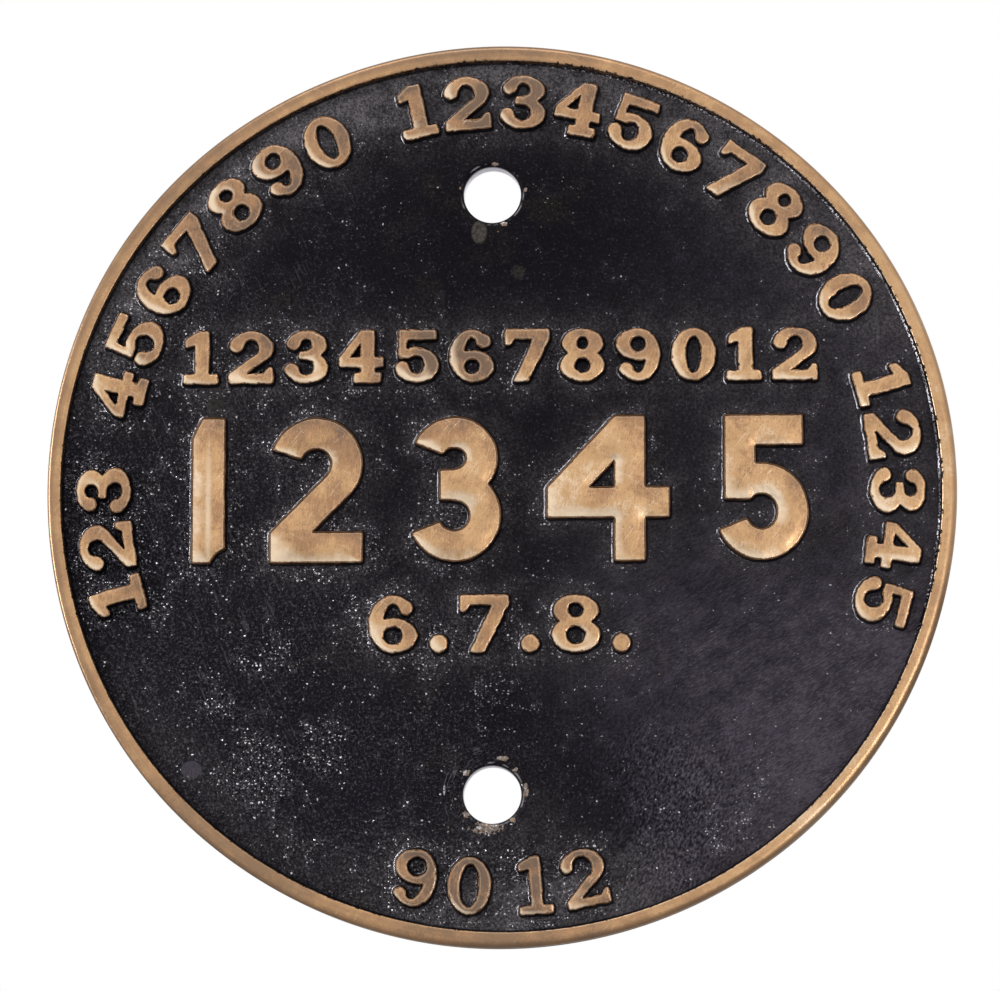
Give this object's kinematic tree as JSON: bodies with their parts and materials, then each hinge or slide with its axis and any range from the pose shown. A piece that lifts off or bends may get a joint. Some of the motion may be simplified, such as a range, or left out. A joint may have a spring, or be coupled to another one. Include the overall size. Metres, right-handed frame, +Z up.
{
  "type": "cast builder's plate",
  "caption": "Round cast bronze builder's plate with a raised rim and figures, black paint on the sunk ground, and two bolt holes, one above the other.",
  "frame": {"origin": "centre of the flat back face, where the plate lies on what it is bolted to", "axes": "+Z up as the plate hangs, +X to the right seen from the front, the front faces -Y and +Y points into the wall"},
  "size_m": [0.235, 0.0095, 0.235],
  "materials": {
    "bronze": "worn satin, cast",
    "black_paint": "semi-gloss paint on sand-cast grain"
  },
  "bodies": {
    "root": {"back_plate": "bronze", "rim": "bronze", "ring_figure_1": "bronze", "ring_figure_2": "bronze", "ring_figure_3": "bronze", "ring_figure_4": "bronze", "ring_figure_5": "bronze", "ring_figure_6": "bronze", "ring_figure_7": "bronze", "ring_figure_8": "bronze", "ring_figure_9": "bronze", "ring_figure_10": "bronze", "ring_figure_11": "bronze", "ring_figure_12": "bronze", "ring_figure_13": "bronze", "ring_figure_14": "bronze", "ring_figure_15": "bronze", "ring_figure_16": "bronze", "ring_figure_17": "bronze", "ring_figure_18": "bronze", "ring_figure_19": "bronze", "ring_figure_20": "bronze", "ring_figure_21": "bronze", "ring_figure_22": "bronze", "ring_figure_23": "bronze", "ring_figure_24": "bronze", "ring_figure_25": "bronze", "upper_figure_1": "bronze", "upper_figure_2": "bronze", "upper_figure_3": "bronze", "upper_figure_4": "bronze", "upper_figure_5": "bronze", "upper_figure_6": "bronze", "upper_figure_7": "bronze", "upper_figure_8": "bronze", "upper_figure_9": "bronze", "upper_figure_10": "bronze", "upper_figure_11": "bronze", "upper_figure_12": "bronze", "serial_figure_1": "bronze", "serial_figure_2": "bronze", "serial_figure_3": "bronze", "serial_figure_4": "bronze", "serial_figure_5": "bronze", "lower_figure_1": "bronze", "lower_figure_2": "bronze", "lower_figure_3": "bronze", "foot_figure_1": "bronze", "foot_figure_2": "bronze", "foot_figure_3": "bronze", "foot_figure_4": "bronze", "lower_stops": "bronze", "ground_paint": "black_paint"}
  },
  "joints": []
}
